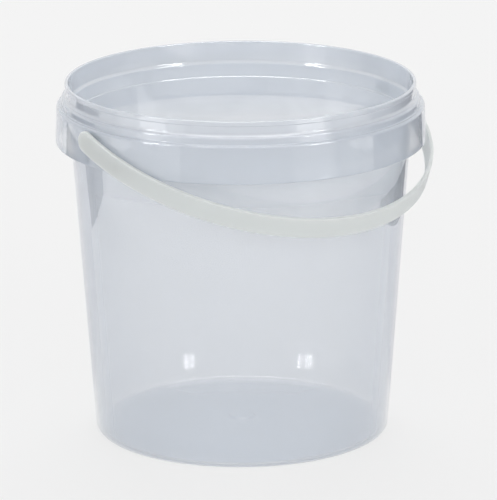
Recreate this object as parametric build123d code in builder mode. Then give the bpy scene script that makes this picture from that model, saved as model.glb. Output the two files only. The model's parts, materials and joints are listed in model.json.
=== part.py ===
from build123d import *
import math
import os

# A clear tapered pail with a stepped lid rim and a ribbed skirt, and its white strap handle.
# Millimetres, +Z up. The origin is the centre of the base, the handle turns about an axis along X,
# and it is modelled lowered towards -Y, with its legs resting by the skirt's lower edge.

# Tub, overall
height = 128.0
base_radius = 52.6  # outside of the wall, carried down to the floor
rim_radius = 65.4  # outside of the skirt at its top
wall = 1.0
floor = 1.1
corner_radius = 2.2  # outside corner between wall and floor

# Tub, underside
foot_width = 3.0  # flat ring that the tub stands on
foot_height = 0.5
dome_rise = 1.0  # the floor is this much higher in the middle
gate_radius = 4.0  # dimple where the plastic came in
gate_rise = 0.9
gate_slope = 0.9  # width of the dimple's sloping side

# Tub, rim: two steps down from the lip to the skirt
lip_wall = 1.2
bead_height = 1.6  # snap bead round the top of the lip
bead_depth = 0.25
groove_draft = 0.1  # under the bead, the lip leans in by this much
upper_ledge_drop = 5.3  # below the top of the lip
lower_ledge_drop = 8.1
tier_inset = 1.6  # the middle tier's face, in from the skirt's
lip_inset = 1.4  # the lip's face, in from the middle tier's
web = 1.2  # roof of the space behind the skirt
seal_rise = 0.9  # the step inside the rim starts this far above the lower ledge
stack_drop = 13.2  # shallow step inside the wall, on which stacked tubs rest
stack_step = 0.25

# Tub, skirt
skirt_height = 13.3  # down from the lower ledge
skirt_wall = 1.2
skirt_flare = 0.5  # the lower edge stands out by this much
ribs_per_side = 18  # spread evenly from one pivot round to the other
rib_wall = 0.8
rib_height = 6.6  # down from the roof of the space behind the skirt

# Tub, roundings of the section's corners
edge_round = 0.4
lip_round = 0.5
ledge_hollow = 1.0
gap_round = 0.6
seal_round = 0.8
soft_round = 2.0  # foot of the gate's dimple
floor_round = corner_radius - wall

# Handle
reach_gap = 6.0  # from the skirt's lower edge to the middle of the strap, with the strap held level
handle_droop = 21.4  # degrees below level
strap_width = 7.6
strap_thickness = 1.5
strap_gap = 0.6  # from the skirt's lower edge out to the strap's inner face
strap_round = 0.35

# Snap studs at the handle's ends
stud_radius = 2.2
stud_clearance = 0.08  # round the stud, in its hole
head_catch = 0.7  # the head stands out this far round the stud
head_length = 1.3
head_taper = 20.0  # degrees
head_play = 0.35  # between the head and the inside of the skirt
head_room = 0.2  # between the head and the roof above it

# Levels and radii that follow from these
upper_ledge = height - upper_ledge_drop
lower_ledge = height - lower_ledge_drop
skirt_edge = lower_ledge - skirt_height
gap_roof = lower_ledge - web
rib_edge = gap_roof - rib_height
head_radius = stud_radius + head_catch
pivot_level = gap_roof - head_room - head_radius
bead_edge = height - bead_height
seal_top = lower_ledge + seal_rise
stack_level = height - stack_drop
floor_top = foot_height + floor
dome_bottom = foot_height + dome_rise
dome_top = floor_top + dome_rise
skirt_edge_radius = rim_radius + skirt_flare
tier_radius = rim_radius - tier_inset
lip_radius = tier_radius - lip_inset
neck_radius = lip_radius - lip_wall  # inside of the lip, and outside of the wall under it
foot_radius = base_radius - corner_radius - foot_width
dome_radius = foot_radius / 2  # the floor slopes up to here and is rounded over half the way on each side
dome_round = dome_radius / 2 / math.tan(math.atan(dome_rise / dome_radius) / 2)


def wall_radius(level):
    """Outside radius of the tapered wall at a height above the floor."""
    return base_radius + (neck_radius - base_radius) * level / gap_roof


def skirt_radius(level):
    """Outside radius of the flared skirt at a height above the floor."""
    return rim_radius + skirt_flare * (lower_ledge - level) / (lower_ledge - skirt_edge)


# Half section of the tub, from the middle of its underside round to the middle of its floor
section = [
    ((0, dome_bottom + gate_rise), 0),
    ((gate_radius - gate_slope, dome_bottom + gate_rise), edge_round),
    ((gate_radius, dome_bottom), edge_round),
    ((dome_radius, dome_bottom), dome_round),
    ((foot_radius, foot_height), edge_round),
    ((foot_radius + foot_height, 0), edge_round),
    ((base_radius, 0), corner_radius),
    ((neck_radius, gap_roof), gap_round),
    ((skirt_radius(gap_roof) - skirt_wall, gap_roof), gap_round),
    ((skirt_edge_radius - skirt_wall, skirt_edge), edge_round),
    ((skirt_edge_radius, skirt_edge), edge_round),
    ((rim_radius, lower_ledge), edge_round),
    ((tier_radius, lower_ledge), edge_round),
    ((tier_radius, upper_ledge), edge_round),
    ((lip_radius - bead_depth - groove_draft, upper_ledge), ledge_hollow),
    ((lip_radius - bead_depth, bead_edge - bead_depth), edge_round),
    ((lip_radius, bead_edge), bead_depth),
    ((lip_radius, height), lip_round),
    ((neck_radius, height), lip_round),
    ((neck_radius, seal_top), seal_round),
    ((wall_radius(lower_ledge) - wall + stack_step, lower_ledge), seal_round),
    ((wall_radius(stack_level + stack_step) - wall + stack_step, stack_level + stack_step), edge_round),
    ((wall_radius(stack_level) - wall, stack_level), edge_round),
    ((wall_radius(floor_top) - wall, floor_top), floor_round),
    ((dome_radius, dome_top), dome_round),
    ((gate_radius + gate_slope, dome_top), soft_round),
    ((gate_radius, dome_top + gate_rise), edge_round),
    ((0, dome_top + gate_rise), 0),
]

# Tub: a turned section, ribs between the wall and the skirt, and two pivot holes through the skirt
rib_middle = (rib_edge + gap_roof) / 2
rib_inner = wall_radius(rib_middle) - wall / 2
rib_outer = skirt_radius(rib_middle) - skirt_wall / 2
hole_start = skirt_radius(pivot_level) - skirt_wall - head_play
hole_depth = skirt_edge_radius + strap_gap - hole_start

with BuildPart() as tub:
    with BuildSketch(Plane.XZ):
        with BuildLine():
            points = [point for point, rounding in section]
            roundings = [rounding for point, rounding in section]
            FilletPolyline(*points, radius=roundings, close=True)
        make_face()
    revolve(axis=Axis.Z)
    with BuildSketch(Plane.XY.offset(rib_edge)):
        rib_pitch = 180 / ribs_per_side
        with PolarLocations((rib_inner + rib_outer) / 2, 2 * ribs_per_side, start_angle=rib_pitch / 2):
            Rectangle(rib_outer - rib_inner, rib_wall)
    extrude(amount=gap_roof + web / 2 - rib_edge)
    for side in (-1, 1):
        with BuildSketch(Plane(origin=(side * hole_start, 0, pivot_level), z_dir=(side, 0, 0))):
            Circle(stud_radius + stud_clearance)
        extrude(amount=hole_depth, mode=Mode.SUBTRACT)
tub.part.label = "tub"

# Handle: half an ellipse of flat strap, a rounded end over each pivot, and a snap stud through each hole
strap_inner = skirt_edge_radius + strap_gap
strap_outer = strap_inner + strap_thickness
handle_reach = skirt_edge_radius + reach_gap  # from the pivot axis to the middle of the strap
reach_inner = handle_reach - strap_thickness / 2
reach_outer = handle_reach + strap_thickness / 2
stud_length = strap_inner - hole_start
droop = Vector(0, -1, 0).rotate(Axis.X, handle_droop)
strap_plane = Plane(origin=(0, 0, pivot_level), x_dir=(1, 0, 0), z_dir=Vector(1, 0, 0).cross(droop))

with BuildPart() as handle:
    with BuildSketch(strap_plane):
        with BuildLine():
            EllipticalCenterArc((0, 0), strap_outer, reach_outer, arc_size=180)
            Line((-strap_outer, 0), (-strap_inner, 0))
            EllipticalCenterArc((0, 0), strap_inner, reach_inner, arc_size=180)
            Line((strap_inner, 0), (strap_outer, 0))
        make_face()
    extrude(amount=strap_width / 2, both=True)
    for side in (-1, 1):
        with BuildSketch(Plane(origin=(side * strap_inner, 0, pivot_level), x_dir=-droop, z_dir=(side, 0, 0))):
            with BuildLine():
                CenterArc((0, 0), strap_width / 2, -90, 180)
                Line((0, strap_width / 2), (0, -strap_width / 2))
            make_face()
        extrude(amount=strap_thickness)
    long_edges = handle.edges().filter_by(GeomType.ELLIPSE)
    end_edges = handle.edges().filter_by(GeomType.CIRCLE)
    fillet(long_edges + end_edges, radius=strap_round)
    for side in (-1, 1):
        stud_plane = Plane(origin=(side * strap_inner, 0, pivot_level), z_dir=(-side, 0, 0))
        with BuildSketch(stud_plane):
            Circle(stud_radius)
        extrude(amount=stud_length)
        with BuildSketch(stud_plane.offset(stud_length)):
            Circle(head_radius)
        extrude(amount=head_length, taper=head_taper)
handle.part.label = "handle"

os.makedirs("parts", exist_ok=True)
export_step(tub.part, "parts/tub.step")
export_step(handle.part, "parts/handle.step")
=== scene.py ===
"""A clear moulded pail with a white strap handle, finished and lit in a plain pale studio."""

import json
import math

import bmesh
import bpy
import numpy as np
from mathutils import Matrix, Vector


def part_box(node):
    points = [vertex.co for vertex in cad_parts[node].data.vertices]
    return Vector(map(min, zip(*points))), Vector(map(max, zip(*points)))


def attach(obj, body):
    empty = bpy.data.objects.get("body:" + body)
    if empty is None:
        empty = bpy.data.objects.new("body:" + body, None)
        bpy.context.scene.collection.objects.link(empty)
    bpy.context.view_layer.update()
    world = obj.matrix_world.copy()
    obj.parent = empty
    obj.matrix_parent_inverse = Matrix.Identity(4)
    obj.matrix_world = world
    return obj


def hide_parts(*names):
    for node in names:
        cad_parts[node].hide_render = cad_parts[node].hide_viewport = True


bl_info = {
    "name": "Clear Pail",
    "version": (1, 0, 0),
    "blender": (4, 5, 0),
    "location": "View3D > Sidebar > Pail",
    "description": "Builds a clear pail with a strap handle, and the pale studio that it stands in",
    "category": "Object",
}

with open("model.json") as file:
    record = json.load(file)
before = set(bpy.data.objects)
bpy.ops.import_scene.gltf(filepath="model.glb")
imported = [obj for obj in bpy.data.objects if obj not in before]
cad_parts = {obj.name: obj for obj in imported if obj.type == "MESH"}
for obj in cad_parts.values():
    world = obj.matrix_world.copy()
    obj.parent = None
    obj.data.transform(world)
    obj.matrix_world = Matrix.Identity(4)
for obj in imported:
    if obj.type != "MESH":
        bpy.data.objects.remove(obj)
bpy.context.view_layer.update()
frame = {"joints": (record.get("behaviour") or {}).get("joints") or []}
tub_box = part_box("tub")
handle_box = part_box("handle")
pivot_level = frame["joints"][0]["pos_m"][2]

MM = 0.001

# Points of a mesh that are closer than this become one
MERGE = 1e-7

# Faces that meet at more than this angle, in degrees, keep a sharp edge in shading
SHARP_ANGLE = 40.0

# Where the plastic's look changes from one face of the tub to another, it does so over one or two of these
FACE_EASE = 0.2 * MM

# The plastic's milk grows with this power of the slant, which is 0 square on and 1 edge on
SLANT_POWER = 2.5

# Of each plastic: the share of its colour that its tint drifts to, and the depth of its bumps
CLEAR_DRIFT = 0.97
CLEAR_BUMP = 0.005 * MM
WHITE_DRIFT = 0.95
WHITE_BUMP = 0.03 * MM

# Roundings of the tub's section, in millimetres
EDGE_ROUND = 0.4
LIP_ROUND = 0.5
LEDGE_ROUND = 0.8
LEDGE_HOLLOW = 0.9
GAP_ROUND = 0.6
SEAL_ROUND = 0.8
SOFT_ROUND = 2.0
GATE_ROUND = 1.0

# How finely the surfaces are divided
ARC_STEPS = 6
LEAD = 0.1 * MM
ROW_STEP = 8.0 * MM
FREE_COLUMNS = 6
STRAP_STEPS = 180
STRAP_END_STEPS = 24
STUD_STEPS = 48

# The ribs' sides slope by this share of half their thickness
RIB_DRAFT = 0.1

# Stage floor: half its width, and how far it lies below the tub's foot
STAGE_HALF = 4.0
STAGE_DROP = 0.05 * MM


def size(name, description, millimetres):
    """A length that the user can change, given in millimetres and kept in metres."""
    return bpy.props.FloatProperty(
        name=name, description=description, default=millimetres * MM, min=0.0,
        precision=5, subtype="DISTANCE", unit="LENGTH")


def turn(name, description, degrees):
    """An angle that the user can change, given in degrees and kept in radians."""
    return bpy.props.FloatProperty(
        name=name, description=description, default=math.radians(degrees), subtype="ANGLE", unit="ROTATION")


def tint(name, description, colour):
    """A colour that the user can change."""
    return bpy.props.FloatVectorProperty(
        name=name, description=description, default=colour, size=3, min=0.0, max=1.0, subtype="COLOR")


def level(name, description, default):
    """A plain number that the user can change."""
    return bpy.props.FloatProperty(name=name, description=description, default=default, min=0.0)


class TubSizes(bpy.types.PropertyGroup):
    """Sizes of the tub."""

    height: size("Height", "From the resting face to the top of the lip", tub_box[1].z / MM)
    base_radius: size("Base radius", "Outside of the wall, carried down to the floor", 52.6)
    wall: size("Wall", "Thickness of the tapered wall", 1.0)
    floor: size("Floor", "Thickness of the floor", 1.1)
    corner_radius: size("Corner radius", "Outside corner between wall and floor", 2.2)
    foot_width: size("Foot width", "Flat ring that the tub stands on", 3.0)
    foot_height: size("Foot height", "The ring stands this far below the floor", 0.5)
    dome_rise: size("Dome rise", "The floor is this much higher in the middle", 1.0)
    gate_radius: size("Gate radius", "Dimple where the plastic came in", 4.0)
    gate_rise: size("Gate rise", "Height of that dimple", 0.9)
    gate_slope: size("Gate slope", "Width of the dimple's sloping side", 0.9)
    rim_radius: size("Rim radius", "Outside of the skirt at its top", 65.4)
    lip_wall: size("Lip wall", "Thickness of the lip", 1.2)
    bead_height: size("Bead height", "Height of the snap bead round the lip", 1.6)
    bead_depth: size("Bead depth", "The bead stands out this far", 0.25)
    groove_draft: size("Groove draft", "Under the bead, the lip leans in by this much", 0.1)
    upper_ledge_drop: size("Upper ledge", "Upper ledge, below the top of the lip", 5.3)
    lower_ledge_drop: size("Lower ledge", "Lower ledge, below the top of the lip", 8.1)
    tier_inset: size("Tier inset", "Middle tier's face, in from the skirt's", 1.6)
    lip_inset: size("Lip inset", "Lip's face, in from the middle tier's", 1.4)
    web: size("Web", "Roof of the space behind the skirt", 1.2)
    seal_rise: size("Seal rise", "Step inside the rim, above the lower ledge", 0.9)
    stack_drop: size("Stack drop", "Shallow step inside the wall, below the top of the lip", 13.2)
    stack_step: size("Stack step", "Depth of that step", 0.25)
    skirt_height: size("Skirt height", "Down from the lower ledge", 13.3)
    skirt_wall: size("Skirt wall", "Thickness of the skirt", 1.2)
    skirt_flare: size("Skirt flare", "The skirt's lower edge stands out by this much", 0.5)
    rib_wall: size("Rib wall", "Thickness of the ribs behind the skirt", 0.8)
    rib_height: size("Rib height", "Down from the roof of the space behind the skirt", 6.6)
    ribs_per_side: bpy.props.IntProperty(
        name="Ribs per side", description="Spread evenly from one pivot to the other", default=18, min=1)
    hole_radius: size("Pivot hole", "Radius of the holes for the handle's studs", 2.28)
    colour: tint("Colour", "Colour of the milky plastic", (0.697, 0.738, 0.805))
    # Painted light: the wall's inner face is paler than the outside, standing in for light that the inside of
    # the tub lacks
    inner_painted_light: tint("Inner colour", "Colour of the wall's inner face", (0.75, 0.80, 0.87))
    # Painted shade: the floor's darker, bluer colour stands in for the shadow under the tub, and the skirt
    # takes a share of it as painted shade too
    floor_shade_colour: tint("Floor colour", "Deeper colour of the floor and the skirt", (0.55, 0.62, 0.71))
    wall_milk: level("Wall milk", "Share that each face of the wall stops, seen square on", 0.27)
    rim_milk: level("Rim milk", "Share that each face stops from the skirt up, seen square on", 0.66)
    skirt_milk: level("Skirt milk", "Share that each face of the skirt stops, seen square on", 0.50)
    # Painted shade: how much of the floor's painted shade colour darkens the skirt
    skirt_shade_share: level("Skirt depth", "Share of the floor's colour in the skirt's", 0.55)
    gap_milk: level("Gap milk", "Share that each face in the space behind the skirt stops", 0.12)
    floor_milk: level("Floor milk", "Share that each face of the floor stops, seen square on", 0.50)
    edge_milk: level("Edge milk", "Share that each face stops, seen edge on", 0.90)


class HandleSizes(bpy.types.PropertyGroup):
    """Sizes of the strap handle."""

    half_width: size("Half width", "From the tub's axis to the strap's outer face", handle_box[1].x / MM)
    reach: size("Reach", "From the pivot axis to the middle of the strap", 71.9)
    droop: turn("Droop", "Below level, as it hangs", 21.4)
    width: size("Strap width", "Width of the strap", 7.6)
    thickness: size("Strap thickness", "Thickness of the strap", 1.5)
    rounding: size("Edge rounding", "Rounding of the strap's long edges", 0.35)
    stud_radius: size("Stud radius", "Radius of the studs that it turns on", 2.2)
    stud_length: size("Stud length", "From the strap's inner face to the snap head", 2.46)
    head_radius: size("Head radius", "Radius of the snap heads", 2.9)
    head_length: size("Head length", "Length of the snap heads", 1.3)
    head_taper: turn("Head taper", "Taper of the snap heads", 20.0)
    colour: tint("Colour", "Colour of the white plastic", (0.622, 0.650, 0.637))


class StudioSettings(bpy.types.PropertyGroup):
    """Camera, lamps and floor."""

    azimuth: turn("Azimuth", "Direction of the camera, round the tub", -36.9)
    distance: size("Distance", "From the tub's axis to the camera, along the floor", 1569.5)
    eye_height: size("Eye height", "Camera above the floor", 502.5)
    aim_height: size("Aim height", "Point on the axis that the camera looks at", 65.19)
    aim_aside: size("Aim aside", "The aim stands this far to the right of the axis", 2.58)
    roll: turn("Roll", "Turn of the camera about its line of sight", -0.27)
    lens: bpy.props.FloatProperty(name="Lens", description="Focal length", default=327.07, unit="CAMERA")
    pale: tint("Pale", "Colour of the floor and the background", (0.88, 0.88, 0.88))
    shadow_share: level("Shadow share", "How much of the floor's look is lit by the lamps", 0.18)
    sky: level("Sky", "Strength of the light from all round", 0.68)
    top_height: size("Top lamp height", "Height of the two lamps above the tub", 1200.0)
    top_width: size("Top lamp width", "Width of the two lamps above the tub", 900.0)
    top_behind: size("Top lamp behind", "The one that lights the tub stands this far behind", 800.0)
    top_brightness: level("Top lamp brightness", "Brightness of the lamp that lights the tub", 4.0)
    gleam_ahead: size("Gleam ahead", "The one that only shows in gloss stands this far ahead", 270.0)
    gleam_depth: size("Gleam depth", "Depth of the one that only shows in gloss", 280.0)
    gleam: level("Gleam", "Brightness of the one that only shows in gloss", 8.0)


def grid_mesh(name, points, closed):
    """A mesh over a grid of points; rows run along the first index and columns along the second.

    Each face joins two neighbours in one row to the same two in the next. Where closed, the last
    column meets the first one. Points that coincide, at poles and seams, are merged afterwards.
    """
    rows, columns = points.shape[:2]
    index = np.arange(rows * columns).reshape(rows, columns)
    if closed:
        index = np.concatenate([index, index[:, :1]], axis=1)
    faces = np.stack([index[:-1, :-1], index[:-1, 1:], index[1:, 1:], index[1:, :-1]], axis=-1).reshape(-1, 4)
    mesh = bpy.data.meshes.new(name)
    mesh.from_pydata(points.reshape(-1, 3), [], faces.tolist())
    edit = bmesh.new()
    edit.from_mesh(mesh)
    bmesh.ops.remove_doubles(edit, verts=edit.verts, dist=MERGE)
    bmesh.ops.recalc_face_normals(edit, faces=edit.faces)
    edit.to_mesh(mesh)
    edit.free()
    return mesh


def place(name, mesh, material):
    """An object for the mesh, at the origin, with its material."""
    piece = bpy.data.objects.new(name, mesh)
    bpy.context.scene.collection.objects.link(piece)
    if material:
        mesh.materials.append(material)
    return piece


def combine(piece, tool, operation):
    """Cuts the tool out of the piece, or joins it on, and takes the tool away."""
    modifier = piece.modifiers.new(operation, "BOOLEAN")
    modifier.operation = operation
    modifier.solver = "EXACT"
    modifier.object = tool
    depsgraph = bpy.context.evaluated_depsgraph_get()
    finished = bpy.data.meshes.new_from_object(piece.evaluated_get(depsgraph))
    piece.modifiers.clear()
    old = piece.data
    piece.data = finished
    bpy.data.meshes.remove(old)
    bpy.data.objects.remove(tool)


def smooth(piece):
    """Shades the piece smoothly, apart from its sharp edges."""
    piece.data.shade_smooth()
    piece.data.set_sharp_from_angle(angle=math.radians(SHARP_ANGLE))


def rounded(corners, roundings, steps):
    """Points along a line of corners, each corner replaced by an arc that touches both its sides.

    The arc starts its radius times the tangent of half the turn before the corner. Its centre is one
    radius to the side of that start, and its points are the start turned about the centre in even steps.
    A point a little before the arc and one a little after it keep the straight sides flat in shading.
    """
    corners = np.asarray(corners, float)
    radius = np.asarray(roundings, float)[1:-1, None]
    sides = np.diff(corners, axis=0)
    lengths = np.linalg.norm(sides, axis=1, keepdims=True)
    before = (sides / lengths)[:-1]
    after = (sides / lengths)[1:]
    cross = before[:, 0] * after[:, 1] - before[:, 1] * after[:, 0]
    angle = np.arctan2(cross, (before * after).sum(axis=1))[:, None]
    tangent = radius * np.tan(np.abs(angle) / 2)
    start = corners[1:-1] - before * tangent
    end = corners[1:-1] + after * tangent
    straight = lengths - np.pad(tangent, ((1, 0), (0, 0))) - np.pad(tangent, ((0, 1), (0, 0)))
    lead = np.clip(straight / 3, 0, LEAD)
    aside = np.sign(angle) * np.stack([-before[:, 1], before[:, 0]], axis=1)
    swept = angle * np.linspace(0, 1, steps)
    out = -aside * radius
    x = out[:, :1] * np.cos(swept) - out[:, 1:] * np.sin(swept)
    y = out[:, :1] * np.sin(swept) + out[:, 1:] * np.cos(swept)
    arcs = (start + aside * radius)[:, None, :] + np.stack([x, y], axis=-1)
    lead_in = (start - before * lead[:-1])[:, None, :]
    lead_out = (end + after * lead[1:])[:, None, :]
    bends = np.concatenate([lead_in, arcs, lead_out], axis=1)
    return np.concatenate([corners[:1], bends.reshape(-1, 2), corners[-1:]])


def divided(line, step):
    """The line with extra points, so that none are further apart than the step; repeats are dropped."""
    along = np.concatenate([[0], np.cumsum(np.linalg.norm(np.diff(line, axis=0), axis=1))])
    wanted = np.unique(np.concatenate([along, np.arange(0, along[-1], step)]).round(9))
    return np.stack([np.interp(wanted, along, line[:, 0]), np.interp(wanted, along, line[:, 1])], axis=1)


def turned(section, angles):
    """A section of radius and level, carried round the Z axis through the angles."""
    radius = section[:, :1]
    height = np.broadcast_to(section[:, 1:], (len(section), len(angles)))
    return np.stack([radius * np.cos(angles), radius * np.sin(angles), height], axis=-1)


def tub_levels(tub):
    """Levels and radii of the tub that follow from its sizes."""
    lower_ledge = tub.height - tub.lower_ledge_drop
    gap_roof = lower_ledge - tub.web
    tier_radius = tub.rim_radius - tub.tier_inset
    lip_radius = tier_radius - tub.lip_inset
    return {
        "lower_ledge": lower_ledge,
        "upper_ledge": tub.height - tub.upper_ledge_drop,
        "gap_roof": gap_roof,
        "rib_edge": gap_roof - tub.rib_height,
        "skirt_edge": lower_ledge - tub.skirt_height,
        "tier_radius": tier_radius,
        "lip_radius": lip_radius,
        "neck_radius": lip_radius - tub.lip_wall,
    }


def tub_section(tub):
    """The tub's half section, as corners of radius and level with their roundings.

    It runs from the middle of the underside out to the foot, up the wall, round the space behind the
    skirt, down and up the skirt, over the two ledges and the lip, and down inside to the middle.
    """
    at = tub_levels(tub)
    edge = EDGE_ROUND * MM
    foot_radius = tub.base_radius - tub.corner_radius - tub.foot_width
    skirt_edge_radius = tub.rim_radius + tub.skirt_flare
    bead_edge = tub.height - tub.bead_height
    seal_top = at["lower_ledge"] + tub.seal_rise
    stack = tub.height - tub.stack_drop
    floor_top = tub.foot_height + tub.floor
    dome_radius = foot_radius / 2
    dome_round = dome_radius / 2 / math.tan(math.atan(tub.dome_rise / dome_radius) / 2)
    dome_bottom = tub.foot_height + tub.dome_rise
    dome_top = floor_top + tub.dome_rise

    def wall_radius(height):
        """Outside of the wall at a height."""
        return tub.base_radius + (at["neck_radius"] - tub.base_radius) * height / at["gap_roof"]

    def skirt_inside(height):
        """Inside of the skirt at a height."""
        outside = tub.rim_radius + tub.skirt_flare * (at["lower_ledge"] - height) / tub.skirt_height
        return outside - tub.skirt_wall

    section = [
        ((0, dome_bottom + tub.gate_rise), 0),
        ((tub.gate_radius - tub.gate_slope, dome_bottom + tub.gate_rise), edge),
        ((tub.gate_radius, dome_bottom), edge),
        ((dome_radius, dome_bottom), dome_round),
        ((foot_radius, tub.foot_height), edge),
        ((foot_radius + tub.foot_height, 0), edge),
        ((tub.base_radius, 0), tub.corner_radius),
        ((wall_radius(at["rib_edge"]), at["rib_edge"]), 0),
        ((at["neck_radius"], at["gap_roof"]), GAP_ROUND * MM),
        ((skirt_inside(at["gap_roof"]), at["gap_roof"]), GAP_ROUND * MM),
        ((skirt_inside(at["rib_edge"]), at["rib_edge"]), 0),
        ((skirt_edge_radius - tub.skirt_wall, at["skirt_edge"]), edge),
        ((skirt_edge_radius, at["skirt_edge"]), edge),
        ((tub.rim_radius, at["lower_ledge"]), LEDGE_ROUND * MM),
        ((at["tier_radius"], at["lower_ledge"]), edge),
        ((at["tier_radius"], at["upper_ledge"]), LEDGE_ROUND * MM),
        ((at["lip_radius"] - tub.bead_depth - tub.groove_draft, at["upper_ledge"]), LEDGE_HOLLOW * MM),
        ((at["lip_radius"] - tub.bead_depth, bead_edge - tub.bead_depth), edge),
        ((at["lip_radius"], bead_edge), tub.bead_depth),
        ((at["lip_radius"], tub.height), LIP_ROUND * MM),
        ((at["neck_radius"], tub.height), LIP_ROUND * MM),
        ((at["neck_radius"], seal_top), SEAL_ROUND * MM),
        ((wall_radius(at["lower_ledge"]) - tub.wall + tub.stack_step, at["lower_ledge"]), SEAL_ROUND * MM),
        ((wall_radius(stack + tub.stack_step) - tub.wall + tub.stack_step, stack + tub.stack_step), edge),
        ((wall_radius(stack) - tub.wall, stack), edge),
        ((wall_radius(floor_top) - tub.wall, floor_top), tub.corner_radius - tub.wall),
        ((dome_radius, dome_top), dome_round),
        ((tub.gate_radius + tub.gate_slope, dome_top), SOFT_ROUND * MM),
        ((tub.gate_radius, dome_top + tub.gate_rise), GATE_ROUND * MM),
        ((0, dome_top + tub.gate_rise), 0),
    ]
    corners = [corner for corner, rounding in section]
    roundings = [rounding for corner, rounding in section]
    return divided(rounded(corners, roundings, ARC_STEPS), ROW_STEP)


def tub_columns(tub):
    """Angles of the columns round the tub, and a mark for those that lie on a rib.

    Each rib has a column at its middle and at both sides. Beside it, just clear of the sides, and evenly
    on to the next rib, are the columns of the space between.
    """
    pitch = math.pi / tub.ribs_per_side
    half = 0.5 * tub.rib_wall / tub.rim_radius
    draft = RIB_DRAFT * half
    on_rib = np.array([-half, 0.0, half])
    between = np.linspace(half + draft, pitch - half - draft, FREE_COLUMNS)
    pattern = np.concatenate([on_rib, between])
    marks = np.concatenate([np.ones(len(on_rib), bool), np.zeros(len(between), bool)])
    starts = pitch * (np.arange(2 * tub.ribs_per_side) + 0.5)
    return (starts[:, None] + pattern).ravel(), np.tile(marks, len(starts))


def tub_surface(tub):
    """The tub as a surface of section and angle.

    The section is carried round the axis. On a rib's columns, the space behind the skirt ends at the
    rib's lower edge: there the level is the lesser of the section's own and that edge's.
    """
    at = tub_levels(tub)
    section = tub_section(tub)
    angles, on_rib = tub_columns(tub)
    points = turned(section, angles)
    skirt_edge_radius = tub.rim_radius + tub.skirt_flare
    lower_edge = np.argmin(np.abs(section - (skirt_edge_radius, at["skirt_edge"])).sum(axis=1))
    foot = np.argmin(np.abs(section - (tub.base_radius, 0)).sum(axis=1))
    behind_skirt = np.zeros(len(section), bool)
    behind_skirt[foot:lower_edge] = True
    ribbed = behind_skirt[:, None] & on_rib
    points[..., 2] = np.where(ribbed, np.minimum(points[..., 2], at["rib_edge"]), points[..., 2])
    return points


def along_x(points, side, start):
    """Points that were turned about Z, laid along the pivot axis on one side of the tub.

    Their levels become distances outwards from the start, and negative levels go inwards from it.
    """
    laid = np.empty_like(points)
    laid[..., 0] = side * (start + points[..., 2])
    laid[..., 1] = side * points[..., 0]
    laid[..., 2] = pivot_level + points[..., 1]
    return laid


def strap_surface(handle):
    """The strap as a surface of its outline and its section.

    The strap's middle line is half an ellipse that ends at the pivots. Its outline stands half a width
    from that line, with a half circle about each pivot. The section runs from the middle line on the
    outer face, out to the outline, round the edge and back on the inner face. A point's width goes
    square to the ellipse's plane, and its depth along the ellipse's normal.
    """
    half = handle.width / 2
    depth = handle.thickness / 2
    across = handle.half_width - depth
    bend = np.linspace(0, math.pi, STRAP_STEPS)
    fan = np.linspace(0, math.pi, STRAP_END_STEPS + 2)[1:-1]
    ends = np.zeros_like(fan)
    middle = np.concatenate([bend, ends + math.pi, bend[::-1], ends])
    outward = np.concatenate([np.zeros_like(bend), np.sin(fan), np.zeros_like(bend), -np.sin(fan)])
    upward = np.concatenate([np.ones_like(bend), np.cos(fan), -np.ones_like(bend), -np.cos(fan)])
    corners = [(0, depth), (half, depth), (half, -depth), (0, -depth)]
    section = divided(rounded(corners, [0, handle.rounding, handle.rounding, 0], ARC_STEPS), half / 3)
    aside = np.array([1.0, 0.0, 0.0])
    down = np.array([0.0, -math.cos(handle.droop), -math.sin(handle.droop)])
    square = np.cross(aside, down)
    place_on = np.cos(middle)[:, None] * across * aside + np.sin(middle)[:, None] * handle.reach * down
    normal = np.cos(middle)[:, None] * handle.reach * aside + np.sin(middle)[:, None] * across * down
    normal /= np.linalg.norm(normal, axis=1, keepdims=True)
    tangent = np.cross(square, normal)
    edge_way = outward[:, None] * tangent + upward[:, None] * square
    points = place_on + section[:, None, :1] * edge_way + section[:, None, 1:] * normal
    return points + np.array([0.0, 0.0, pivot_level])


def stud_section(handle):
    """Half section of a stud with its snap head, from inside the strap to the tip, as radius and level."""
    sink = handle.thickness / 2
    tip = handle.head_radius - handle.head_length * math.tan(handle.head_taper)
    end = handle.stud_length + handle.head_length
    edge = EDGE_ROUND * MM / 2
    corners = [(0, -sink), (handle.stud_radius, -sink), (handle.stud_radius, handle.stud_length),
               (handle.head_radius, handle.stud_length), (tip, end), (0, end)]
    return divided(rounded(corners, [0, 0, 0, edge, edge, 0], ARC_STEPS), handle.stud_length)


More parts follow.
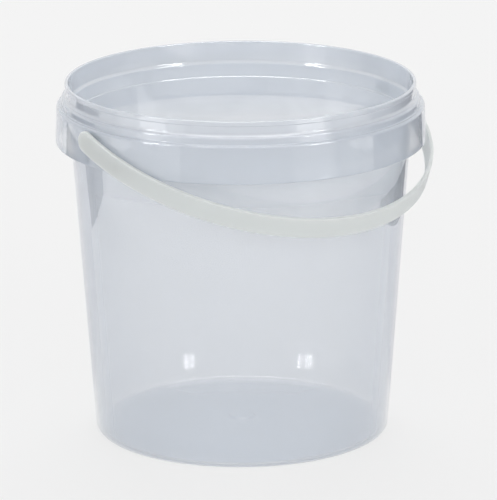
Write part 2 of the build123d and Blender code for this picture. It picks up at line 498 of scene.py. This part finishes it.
def moulded_group():
    """Node group for the look of moulded plastic: slow drifts of tint and gloss, streaks and a fine grain."""
    tree = bpy.data.node_groups.new("Moulded plastic", "ShaderNodeTree")
    for name, kind, default in (
        ("Colour", "NodeSocketColor", (0.8, 0.8, 0.8, 1.0)),
        ("Drift colour", "NodeSocketColor", (0.7, 0.7, 0.7, 1.0)),
        ("Drift scale", "NodeSocketFloat", 20.0),
        ("Streak stretch", "NodeSocketVector", (1.0, 1.0, 1.0)),
        ("Gloss low", "NodeSocketFloat", 0.05),
        ("Gloss high", "NodeSocketFloat", 0.1),
        ("Grain scale", "NodeSocketFloat", 800.0),
        ("Grain share", "NodeSocketFloat", 0.2),
    ):
        tree.interface.new_socket(name=name, in_out="INPUT", socket_type=kind).default_value = default
    for name, kind in (
        ("Colour", "NodeSocketColor"),
        ("Roughness", "NodeSocketFloat"),
        ("Height", "NodeSocketFloat"),
    ):
        tree.interface.new_socket(name=name, in_out="OUTPUT", socket_type=kind)
    given = tree.nodes.new("NodeGroupInput").outputs
    out = tree.nodes.new("NodeGroupOutput").inputs
    spot = tree.nodes.new("ShaderNodeTexCoord").outputs["Object"]
    stretch = tree.nodes.new("ShaderNodeMapping")
    drift = tree.nodes.new("ShaderNodeTexNoise")
    grain = tree.nodes.new("ShaderNodeTexNoise")
    gloss = tree.nodes.new("ShaderNodeMapRange")
    drift.inputs["Detail"].default_value = 3.0
    grain.inputs["Detail"].default_value = 2.0
    drifted = drift.outputs["Fac"]
    for value, slot in (
        (spot, stretch.inputs["Vector"]),
        (given["Streak stretch"], stretch.inputs["Scale"]),
        (stretch.outputs["Vector"], drift.inputs["Vector"]),
        (given["Drift scale"], drift.inputs["Scale"]),
        (spot, grain.inputs["Vector"]),
        (given["Grain scale"], grain.inputs["Scale"]),
        (drifted, gloss.inputs["Value"]),
        (given["Gloss low"], gloss.inputs["To Min"]),
        (given["Gloss high"], gloss.inputs["To Max"]),
        (mixed(tree, "RGBA", drifted, given["Colour"], given["Drift colour"]), out["Colour"]),
        (gloss.outputs["Result"], out["Roughness"]),
        (mixed(tree, "FLOAT", given["Grain share"], drifted, grain.outputs["Fac"]), out["Height"]),
    ):
        tree.links.new(value, slot)
    return tree


def moulded_material(name, colour, drift_share, bump_depth, values):
    """A Principled material that takes its colour, gloss and bump from the moulded group.

    Its tint drifts between the colour and the given share of it.
    """
    material = bpy.data.materials.new(name)
    material.use_nodes = True
    nodes, links = material.node_tree.nodes, material.node_tree.links
    shader = nodes["Principled BSDF"]
    look = nodes.new("ShaderNodeGroup")
    look.node_tree = bpy.data.node_groups.get("Moulded plastic") or moulded_group()
    look.inputs["Colour"].default_value = (*colour, 1.0)
    look.inputs["Drift colour"].default_value = (*(drift_share * c for c in colour), 1.0)
    for key, value in values.items():
        look.inputs[key].default_value = value
    bump = nodes.new("ShaderNodeBump")
    bump.inputs["Distance"].default_value = bump_depth
    links.new(look.outputs["Colour"], shader.inputs["Base Color"])
    links.new(look.outputs["Roughness"], shader.inputs["Roughness"])
    links.new(look.outputs["Height"], bump.inputs["Height"])
    links.new(bump.outputs["Normal"], shader.inputs["Normal"])
    return material, shader


def feed(tree, value, slot):
    """Gives a socket its value, which is another socket or a plain value."""
    if isinstance(value, bpy.types.NodeSocket):
        tree.links.new(value, slot)
    else:
        slot.default_value = value


def eased(tree, value, low, high, start=0.0, end=1.0):
    """A value that goes evenly from start to end while another one goes from low to high."""
    ease = tree.nodes.new("ShaderNodeMapRange")
    tree.links.new(value, ease.inputs["Value"])
    ease.inputs["From Min"].default_value = low
    ease.inputs["From Max"].default_value = high
    ease.inputs["To Min"].default_value = start
    ease.inputs["To Max"].default_value = end
    return ease.outputs["Result"]


def mixed(tree, kind, share, first, second):
    """First and second mixed by the second one's share; each is a socket or a plain value."""
    mix = tree.nodes.new("ShaderNodeMix")
    mix.data_type = kind
    for key, given in (("Factor", share), ("A", first), ("B", second)):
        feed(tree, given, mix.inputs[key])
    return mix.outputs["Result"]


def worked_out(tree, operation, *values):
    """The result of a Math node; each value is a socket or a plain number."""
    node = tree.nodes.new("ShaderNodeMath")
    node.operation = operation
    for slot, given in zip(node.inputs, values):
        feed(tree, given, slot)
    return node.outputs["Value"]


def tub_places(tree):
    """Distance from the tub's axis and height above the floor, as sockets."""
    spot = tree.nodes.new("ShaderNodeTexCoord").outputs["Object"]
    parts = tree.nodes.new("ShaderNodeSeparateXYZ")
    tree.links.new(spot, parts.inputs["Vector"])
    flat = tree.nodes.new("ShaderNodeVectorMath")
    flat.operation = "MULTIPLY"
    flat.inputs[1].default_value = (1.0, 1.0, 0.0)
    tree.links.new(spot, flat.inputs[0])
    radius = tree.nodes.new("ShaderNodeVectorMath")
    radius.operation = "LENGTH"
    tree.links.new(flat.outputs["Vector"], radius.inputs[0])
    return radius.outputs["Value"], parts.outputs["Z"]


def tub_masks(tree, tub, outward, up):
    """Masks that go from 0 to 1 where one face of the tub gives way to another, as sockets.

    They are 1 past the floor's edge, past the wall's inner face, on the middle tier and the skirt, and in
    the gap. The wall leans, so its mask takes the lean off the distance from the axis. The gap is the
    space between the wall and the skirt, under the roof and over the skirt's lower edge.
    """
    at = tub_levels(tub)
    floor_edge = tub.base_radius - tub.corner_radius
    lean = (tub.base_radius - at["neck_radius"]) / at["gap_roof"]
    upright = worked_out(tree, "MULTIPLY_ADD", up, lean, outward)
    within_wall = tub.base_radius - tub.wall / 4
    past_wall = eased(tree, upright, within_wall - FACE_EASE, within_wall + FACE_EASE)
    skirt_middle = tub.rim_radius - tub.skirt_wall / 2
    short_of_skirt = eased(tree, outward, skirt_middle, skirt_middle + FACE_EASE, 1.0, 0.0)
    under_roof = eased(tree, up, at["gap_roof"] - 2 * FACE_EASE, at["gap_roof"] - FACE_EASE, 1.0, 0.0)
    gap_start = at["skirt_edge"] + tub.skirt_wall / 2
    over_edge = eased(tree, up, gap_start, gap_start + tub.skirt_wall)
    across_gap = worked_out(tree, "MULTIPLY", past_wall, short_of_skirt)
    up_gap = worked_out(tree, "MULTIPLY", under_roof, over_edge)
    return {
        "past_floor": eased(tree, outward, floor_edge - tub.floor, floor_edge),
        "past_wall": past_wall,
        "on_skirt": eased(tree, outward, at["tier_radius"] - tub.lip_inset / 2, at["tier_radius"]),
        "in_gap": worked_out(tree, "MULTIPLY", across_gap, up_gap),
    }


def tub_milk(tree, tub, up, masks):
    """Share of the light that each face stops, as a socket.

    The wall's two faces grow milkier towards the rim, the inner one from further down. The floor and the
    skirt have milk of their own. All of it changes as a face is seen edge on, apart from the gap's.
    """
    at = tub_levels(tub)
    inner_start = at["skirt_edge"] - tub.skirt_height
    inner = eased(tree, up, inner_start, at["skirt_edge"], tub.wall_milk, tub.rim_milk)
    outer = eased(tree, up, at["skirt_edge"], at["rib_edge"], tub.wall_milk, tub.rim_milk)
    wall = mixed(tree, "FLOAT", masks["past_wall"], inner, outer)
    low = mixed(tree, "FLOAT", masks["past_floor"], tub.floor_milk, wall)
    square_on = mixed(tree, "FLOAT", masks["on_skirt"], low, tub.skirt_milk)
    facing = tree.nodes.new("ShaderNodeLayerWeight").outputs["Facing"]
    slant = worked_out(tree, "POWER", facing, SLANT_POWER)
    slanted = mixed(tree, "FLOAT", slant, square_on, tub.edge_milk)
    return mixed(tree, "FLOAT", masks["in_gap"], slanted, tub.gap_milk)


def tub_colour(tree, tub, plain, masks):
    """Colour of the plastic, as a socket: paler on the wall's inner face as painted light, darker and bluer
    at the skirt and floor as painted shade.
    """
    # Painted shade: a darker, bluer colour for the floor in place of the shadow under the tub; a share of it
    # darkens the skirt as painted shade too
    floor_shade_tint = (*tub.floor_shade_colour, 1.0)
    skirt_shade_mix = eased(tree, masks["on_skirt"], 0.0, 1.0, 0.0, tub.skirt_shade_share)
    # Painted light: the wall's inner face takes the paler colour, standing in for light that the inside of
    # the tub lacks
    painted_light_mix = mixed(tree, "RGBA", masks["past_wall"], (*tub.inner_painted_light, 1.0), plain)
    wall = mixed(tree, "RGBA", skirt_shade_mix, painted_light_mix, floor_shade_tint)
    return mixed(tree, "RGBA", masks["past_floor"], floor_shade_tint, wall)


def clear_plastic(tub):
    """Milky see-through plastic with a high gloss, whose milk and colour follow the tub's faces; its colour
    holds painted light on the wall's inner face and painted shade at the floor and skirt.
    """
    material, shader = moulded_material("clear_plastic", tuple(tub.colour), CLEAR_DRIFT, CLEAR_BUMP, {
        "Drift scale": 30.0,
        "Streak stretch": (1.0, 1.0, 0.25),
        "Gloss low": 0.01,
        "Gloss high": 0.03,
        "Grain scale": 700.0,
        "Grain share": 0.0,
    })
    shader.inputs["IOR"].default_value = 1.49
    shader.inputs["Specular IOR Level"].default_value = 1.0
    shader.inputs["Coat Weight"].default_value = 1.0
    shader.inputs["Coat Roughness"].default_value = 0.01
    shader.inputs["Coat IOR"].default_value = 2.0
    tree = material.node_tree
    outward, up = tub_places(tree)
    masks = tub_masks(tree, tub, outward, up)
    plain = shader.inputs["Base Color"].links[0].from_socket
    tree.links.new(tub_milk(tree, tub, up, masks), shader.inputs["Alpha"])
    tree.links.new(tub_colour(tree, tub, plain, masks), shader.inputs["Base Color"])
    return material


def white_plastic(handle):
    """White satin plastic that light soaks into, with a fine grain and faint streaks along the strap."""
    material, shader = moulded_material("white_plastic", tuple(handle.colour), WHITE_DRIFT, WHITE_BUMP, {
        "Drift scale": 40.0,
        "Streak stretch": (0.5, 0.5, 2.0),
        "Gloss low": 0.3,
        "Gloss high": 0.42,
        "Grain scale": 1500.0,
        "Grain share": 0.5,
    })
    shader.inputs["IOR"].default_value = 1.5
    shader.inputs["Subsurface Weight"].default_value = 1.0
    shader.inputs["Subsurface Radius"].default_value = (1.0, 1.0, 1.0)
    shader.inputs["Subsurface Scale"].default_value = 6.0 * MM
    return material


class OBJECT_OT_clear_tub(bpy.types.Operator):
    """Builds the clear tub with its stepped rim, ribbed skirt and pivot holes"""

    bl_idname = "object.clear_tub"
    bl_label = "Clear Tub"

    def execute(self, context):
        tub = context.scene.pail_tub
        mesh = grid_mesh("clear_tub", tub_surface(tub), closed=True)
        piece = place("clear_tub", mesh, clear_plastic(tub))
        hole_start = tub.rim_radius - 2 * tub.skirt_wall
        hole_end = tub.rim_radius + 2 * tub.skirt_wall
        radii = (0, tub.hole_radius, tub.hole_radius, 0)
        bore = np.stack([radii, (hole_start, hole_start, hole_end, hole_end)], axis=1)
        angles = np.linspace(0, 2 * math.pi, STUD_STEPS, endpoint=False)
        for side in (-1, 1):
            cutter = grid_mesh("bore", along_x(turned(bore, angles), side, 0.0), closed=True)
            combine(piece, place("bore", cutter, None), "DIFFERENCE")
        smooth(piece)
        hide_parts("tub")
        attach(piece, "tub")
        return {"FINISHED"}


class OBJECT_OT_strap_handle(bpy.types.Operator):
    """Builds the white strap handle with a rounded end and a snap stud at each pivot"""

    bl_idname = "object.strap_handle"
    bl_label = "Strap Handle"

    def execute(self, context):
        handle = context.scene.pail_handle
        mesh = grid_mesh("strap_handle", strap_surface(handle), closed=True)
        piece = place("strap_handle", mesh, white_plastic(handle))
        inner_face = handle.half_width - handle.thickness
        angles = np.linspace(0, 2 * math.pi, STUD_STEPS, endpoint=False)
        inward = stud_section(handle) * (1, -1)
        for side in (-1, 1):
            stud = grid_mesh("stud", along_x(turned(inward, angles), side, inner_face), closed=True)
            combine(piece, place("stud", stud, None), "UNION")
        smooth(piece)
        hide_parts("handle")
        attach(piece, "handle")
        return {"FINISHED"}


def background_material(studio):
    """Pale floor, with its own even colour and a share of real shade for what the camera sees.

    That holds directly and by gloss and glass. For the light that it throws back, it is plain matt.
    """
    material = bpy.data.materials.new("pale_floor")
    material.use_nodes = True
    nodes, links = material.node_tree.nodes, material.node_tree.links
    nodes.clear()
    pale = (*studio.pale, 1.0)
    glow = nodes.new("ShaderNodeEmission")
    glow.inputs["Color"].default_value = pale
    shade = nodes.new("ShaderNodeBsdfDiffuse")
    shade.inputs["Color"].default_value = pale
    seen = nodes.new("ShaderNodeMixShader")
    seen.inputs["Fac"].default_value = studio.shadow_share
    links.new(glow.outputs["Emission"], seen.inputs[1])
    links.new(shade.outputs["BSDF"], seen.inputs[2])
    both = nodes.new("ShaderNodeMixShader")
    links.new(seen_by_camera(material.node_tree), both.inputs["Fac"])
    links.new(shade.outputs["BSDF"], both.inputs[1])
    links.new(seen.outputs["Shader"], both.inputs[2])
    out = nodes.new("ShaderNodeOutputMaterial")
    links.new(both.outputs["Shader"], out.inputs["Surface"])
    return material


def seen_by_camera(tree):
    """1 for rays from the camera, directly or by gloss and glass, and 0 for the rest."""
    path = tree.nodes.new("ShaderNodeLightPath").outputs
    mirrored = worked_out(tree, "MAXIMUM", path["Is Camera Ray"], path["Is Glossy Ray"])
    return worked_out(tree, "MAXIMUM", mirrored, path["Is Transmission Ray"])


def set_world(studio):
    """Even light from all round, with the pale background where the camera sees past the floor."""
    world = bpy.data.worlds.new("studio")
    bpy.context.scene.world = world
    world.use_nodes = True
    nodes, links = world.node_tree.nodes, world.node_tree.links
    nodes.clear()
    light = nodes.new("ShaderNodeBackground")
    light.inputs["Strength"].default_value = studio.sky
    back = nodes.new("ShaderNodeBackground")
    back.inputs["Color"].default_value = (*studio.pale, 1.0)
    both = nodes.new("ShaderNodeMixShader")
    links.new(seen_by_camera(world.node_tree), both.inputs["Fac"])
    links.new(light.outputs["Background"], both.inputs[1])
    links.new(back.outputs["Background"], both.inputs[2])
    out = nodes.new("ShaderNodeOutputWorld")
    links.new(both.outputs["Shader"], out.inputs["Surface"])


def set_camera(studio):
    """The camera, aimed at the axis and a little aside."""
    data = bpy.data.cameras.new("camera")
    data.lens = studio.lens
    camera = bpy.data.objects.new("camera", data)
    bpy.context.scene.collection.objects.link(camera)
    way = Vector((math.sin(studio.azimuth), -math.cos(studio.azimuth), 0))
    right = Vector((math.cos(studio.azimuth), math.sin(studio.azimuth), 0))
    eye = way * studio.distance + Vector((0, 0, studio.eye_height))
    aim = right * studio.aim_aside + Vector((0, 0, studio.aim_height))
    look = (aim - eye).to_track_quat("-Z", "Y").to_matrix() @ Matrix.Rotation(studio.roll, 3, "Z")
    camera.matrix_world = Matrix.LocRotScale(eye, look, None)
    bpy.context.scene.camera = camera


# Lamps round the tub: name, degrees to the right of the camera, then distance, lower edge, upper edge and
# width in millimetres, brightness, and in how many steps it fades towards its sides. The last word is light
# for one that lights the scene and doesn't show in gloss, and gloss for one that only shows there.
LAMPS = (
    ("left_softbox", -58.0, 900.0, 250.0, 750.0, 500.0, 1.2, 1, "light"),
    ("right_softbox", 43.5, 900.0, 250.0, 750.0, 500.0, 1.5, 1, "light"),
    ("front_softbox", 0.0, 1700.0, 250.0, 1900.0, 1600.0, 0.95, 1, "light"),
    ("left_board", -58.5, 400.0, 2.0, 400.0, 340.0, 1.6, 4, "gloss"),
    ("right_board", 43.0, 400.0, 2.0, 400.0, 180.0, 1.8, 8, "gloss"),
    ("left_strip", -55.5, 390.0, 6.0, 45.0, 120.0, 4.0, 5, "gloss"),
    ("right_strip", 43.0, 390.0, 6.0, 45.0, 120.0, 4.0, 5, "gloss"),
    ("left_screen", -88.0, 400.0, 45.0, 90.0, 330.0, 2.5, 4, "gloss"),
    ("right_screen", 88.0, 400.0, 45.0, 90.0, 330.0, 2.5, 4, "gloss"),
    ("left_key", -66.0, 1200.0, 750.0, 2600.0, 170.0, 10.0, 1, "gloss"),
    ("right_key", 60.0, 1200.0, 750.0, 2600.0, 170.0, 10.0, 1, "gloss"),
    ("left_lamp_near", -48.2, 1200.0, 185.0, 270.0, 73.0, 26.0, 1, "gloss"),
    ("left_lamp_far", -56.1, 1200.0, 185.0, 270.0, 140.0, 26.0, 1, "gloss"),
    ("right_lamp_near", 40.9, 1200.0, 185.0, 270.0, 64.0, 26.0, 1, "gloss"),
    ("right_lamp_far", 46.5, 1200.0, 185.0, 270.0, 64.0, 26.0, 1, "gloss"),
)


def add_lamp(name, spot, way, width, height, brightness, kind):
    """A flat lamp at the spot that faces the given way, unseen by the camera."""
    data = bpy.data.lights.new(name, "AREA")
    data.shape = "RECTANGLE"
    data.size = width
    data.size_y = height
    data.energy = brightness * math.pi * width * height
    lamp = bpy.data.objects.new(name, data)
    bpy.context.scene.collection.objects.link(lamp)
    lamp.matrix_world = Matrix.LocRotScale(spot, way.to_track_quat("-Z", "Y"), None)
    lamp.visible_camera = False
    lamp.visible_glossy = kind == "gloss"
    lamp.visible_diffuse = kind == "light"


def set_lamps(studio):
    """Soft lamps from above, both sides and the front, and lamps that only show in gloss."""
    back = Vector((-math.sin(studio.azimuth), math.cos(studio.azimuth), 0))
    up = Vector((0, 0, studio.top_height))
    for name, spot, depth, brightness, kind in (
        ("top_softbox", up + back * studio.top_behind, studio.top_width, studio.top_brightness, "light"),
        ("gleam_board", up - back * studio.gleam_ahead, studio.gleam_depth, studio.gleam, "gloss"),
    ):
        add_lamp(name, spot, -spot, studio.top_width, depth, brightness, kind)
    for name, aside, distance, low, high, width, brightness, steps, kind in LAMPS:
        azimuth = studio.azimuth + math.radians(aside)
        way = Vector((math.sin(azimuth), -math.cos(azimuth), 0))
        spot = way * distance * MM + Vector((0, 0, (low + high) / 2 * MM))
        for step in range(1, steps + 1):
            add_lamp(name, spot, -way, width * step / steps * MM, (high - low) * MM, brightness / steps, kind)


# Cards beside the tub that show in gloss only. Each has a colour, its lower edge from far to near and its
# upper edge likewise, with corners in millimetres to the right of the axis, behind it and up.
CARDS = {
    "left_card": (
        (0.01, 0.01, 0.013),
        ((-230.0, 137.0, 0.0), (-300.0, 65.0, 0.0)),
        ((-226.0, 165.0, 64.0), (-279.0, 29.0, 64.0)),
    ),
    "right_card": (
        (0.02, 0.02, 0.022),
        ((163.0, 244.0, 0.0), (274.0, 71.0, 0.0)),
        ((163.0, 244.0, 29.5), (274.0, 71.0, 9.0)),
    ),
    "right_end_card": (
        (0.15, 0.15, 0.16),
        ((174.0, 227.0, 42.0), (266.0, 83.5, 42.0)),
        ((174.0, 227.0, 70.0), (266.0, 83.5, 70.0)),
    ),
    "right_side_card": (
        (0.40, 0.40, 0.42),
        ((266.0, 83.5, 42.0), (349.0, -47.0, 42.0)),
        ((266.0, 83.5, 70.0), (349.0, -47.0, 70.0)),
    ),
}

# Grey mat on the floor behind the tub, which shows in gloss only: how far it reaches to each side of straight
# behind, in degrees, and its radii and level in millimetres
MAT_REACH = 60.0
MAT_RADII = (60.0, 900.0)
MAT_LEVEL = 0.1
MAT_COLOUR = (0.74, 0.74, 0.76)
MAT_STEPS = 25


def show_in_gloss(name, points, colour):
    """A matt stage surface over the points, which only reflections show."""
    material = bpy.data.materials.new(name)
    material.use_nodes = True
    nodes, links = material.node_tree.nodes, material.node_tree.links
    nodes.remove(nodes["Principled BSDF"])
    matt = nodes.new("ShaderNodeBsdfDiffuse")
    matt.inputs["Color"].default_value = (*colour, 1.0)
    links.new(matt.outputs["BSDF"], nodes["Material Output"].inputs["Surface"])
    card = place(name, grid_mesh(name, points, closed=False), material)
    card.visible_camera = False
    card.visible_diffuse = False
    card.visible_transmission = False
    card.visible_shadow = False


def set_cards(studio):
    """The cards and the mat, turned with the camera's azimuth about the tub's axis.

    The mat is a ring sector: a radius along its direction, for each direction and each of the two radii.
    """
    right = np.array([math.cos(studio.azimuth), math.sin(studio.azimuth), 0.0])
    behind = np.array([-math.sin(studio.azimuth), math.cos(studio.azimuth), 0.0])
    upward = np.array([0.0, 0.0, 1.0])
    axes = np.stack([right, behind, upward]) * MM
    for name, (colour, lower, upper) in CARDS.items():
        show_in_gloss(name, np.array([lower, upper]) @ axes, colour)
    turns = np.radians(np.linspace(-MAT_REACH, MAT_REACH, MAT_STEPS))
    ring = np.array(MAT_RADII)[:, None]
    flat = np.full((len(MAT_RADII), MAT_STEPS), MAT_LEVEL)
    mat = np.stack([ring * np.sin(turns), ring * np.cos(turns), flat], axis=-1)
    show_in_gloss("back_mat", mat @ axes, MAT_COLOUR)


class SCENE_OT_pale_studio(bpy.types.Operator):
    """Sets up the pale floor, the light and the camera"""

    bl_idname = "scene.pale_studio"
    bl_label = "Pale Studio"

    def execute(self, context):
        studio = context.scene.pail_studio
        reach = np.array([-STAGE_HALF, STAGE_HALF])
        corners = np.stack(np.meshgrid(reach, reach, [-STAGE_DROP]), axis=-1).reshape(2, 2, 3)
        mesh = grid_mesh("pale_floor", corners, closed=False)
        place("pale_floor", mesh, background_material(studio))
        set_cards(studio)
        set_world(studio)
        set_lamps(studio)
        set_camera(studio)
        context.scene.view_settings.view_transform = "Standard"
        context.scene.cycles.transparent_max_bounces = 32
        context.scene.cycles.sample_clamp_indirect = 40.0
        return {"FINISHED"}


class VIEW3D_PT_pail(bpy.types.Panel):
    """Lists the pail's pieces, sizes and finishes"""

    bl_idname = "VIEW3D_PT_pail"
    bl_label = "Pail"
    bl_space_type = "VIEW_3D"
    bl_region_type = "UI"
    bl_category = "Pail"

    def draw(self, context):
        scene = context.scene
        for operator, settings in (
            (OBJECT_OT_clear_tub, scene.pail_tub),
            (OBJECT_OT_strap_handle, scene.pail_handle),
            (SCENE_OT_pale_studio, scene.pail_studio),
        ):
            column = self.layout.column()
            column.operator(operator.bl_idname)
            for key in settings.__annotations__:
                column.prop(settings, key)


GROUPS = {"pail_tub": TubSizes, "pail_handle": HandleSizes, "pail_studio": StudioSettings}
OPERATORS = (OBJECT_OT_clear_tub, OBJECT_OT_strap_handle, SCENE_OT_pale_studio)


def register():
    """Makes the settings, the operators and the panel known."""
    for group in GROUPS.values():
        bpy.utils.register_class(group)
    for key, group in GROUPS.items():
        setattr(bpy.types.Scene, key, bpy.props.PointerProperty(type=group))
    for operator in OPERATORS:
        bpy.utils.register_class(operator)
    bpy.utils.register_class(VIEW3D_PT_pail)


def unregister():
    """Takes the panel, the operators and the settings away again."""
    bpy.utils.unregister_class(VIEW3D_PT_pail)
    for operator in reversed(OPERATORS):
        bpy.utils.unregister_class(operator)
    for key, group in GROUPS.items():
        delattr(bpy.types.Scene, key)
        bpy.utils.unregister_class(group)


def main():
    """Builds both pieces and the stage."""
    register()
    bpy.ops.object.clear_tub()
    bpy.ops.object.strap_handle()
    bpy.ops.scene.pale_studio()


if __name__ == "__main__":
    main()
